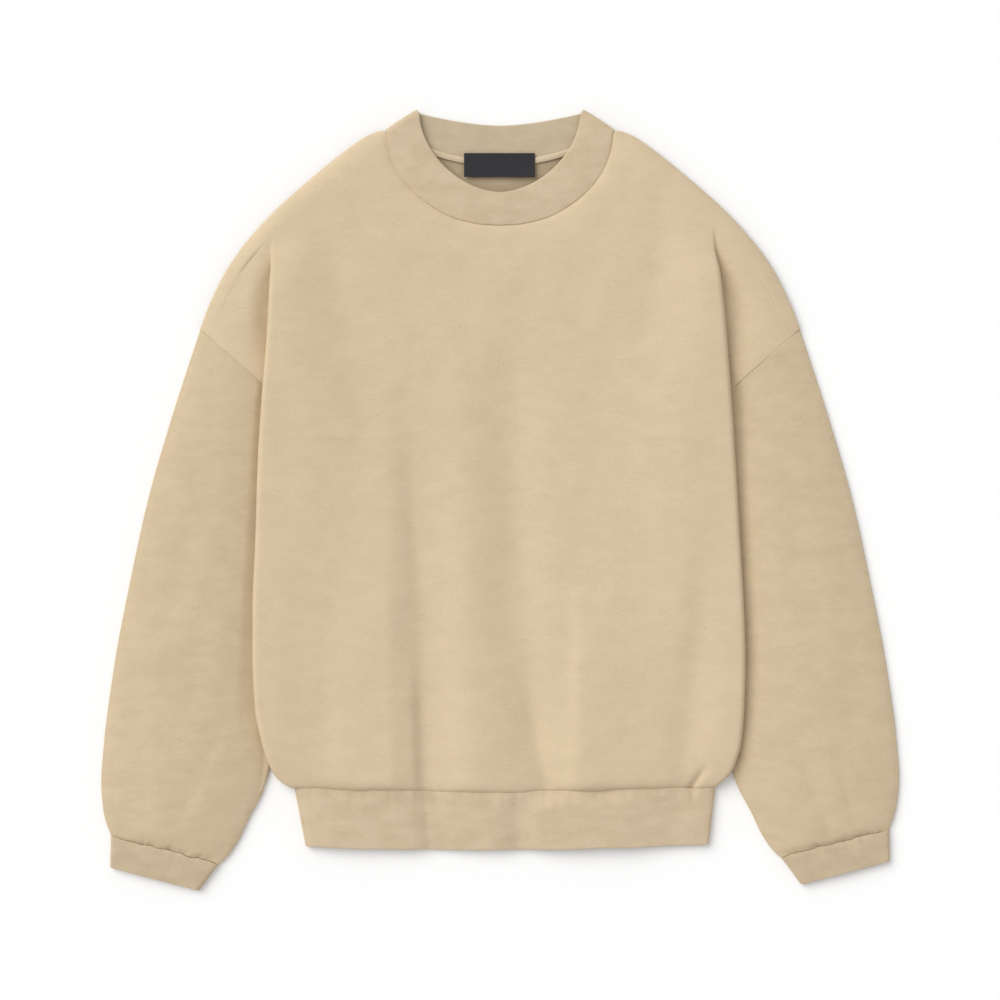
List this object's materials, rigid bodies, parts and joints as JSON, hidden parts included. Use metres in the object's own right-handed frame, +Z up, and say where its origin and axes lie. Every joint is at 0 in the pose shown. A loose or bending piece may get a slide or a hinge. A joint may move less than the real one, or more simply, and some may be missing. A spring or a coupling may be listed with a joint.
{
  "type": "crewneck sweatshirt",
  "caption": "Oversized crewneck sweatshirt in heavy fleece, laid flat on its back with the sleeves down, with rib collar, cuffs and waistband and a bare neck label.",
  "frame": {"origin": "middle of the garment's footprint, on the surface that it lies on", "axes": "+X towards the sleeve seen on the right, +Y from the hem towards the neck, +Z up from the surface"},
  "size_m": [0.7586, 0.74, 0.0132],
  "materials": {
    "fleece": "soft matt fleece, beige, slightly mottled",
    "rib": "fine matt rib knit, beige",
    "tape": "matt jersey tape, beige",
    "label": "woven satin, near black, bare"
  },
  "bodies": {
    "root": {"body_front": "fleece", "body_back": "fleece", "sleeve_left": "fleece", "sleeve_right": "fleece", "cuff_left": "rib", "cuff_right": "rib", "waistband": "rib", "collar": "rib", "neck_tape": "tape", "neck_label": "label"}
  },
  "joints": []
}
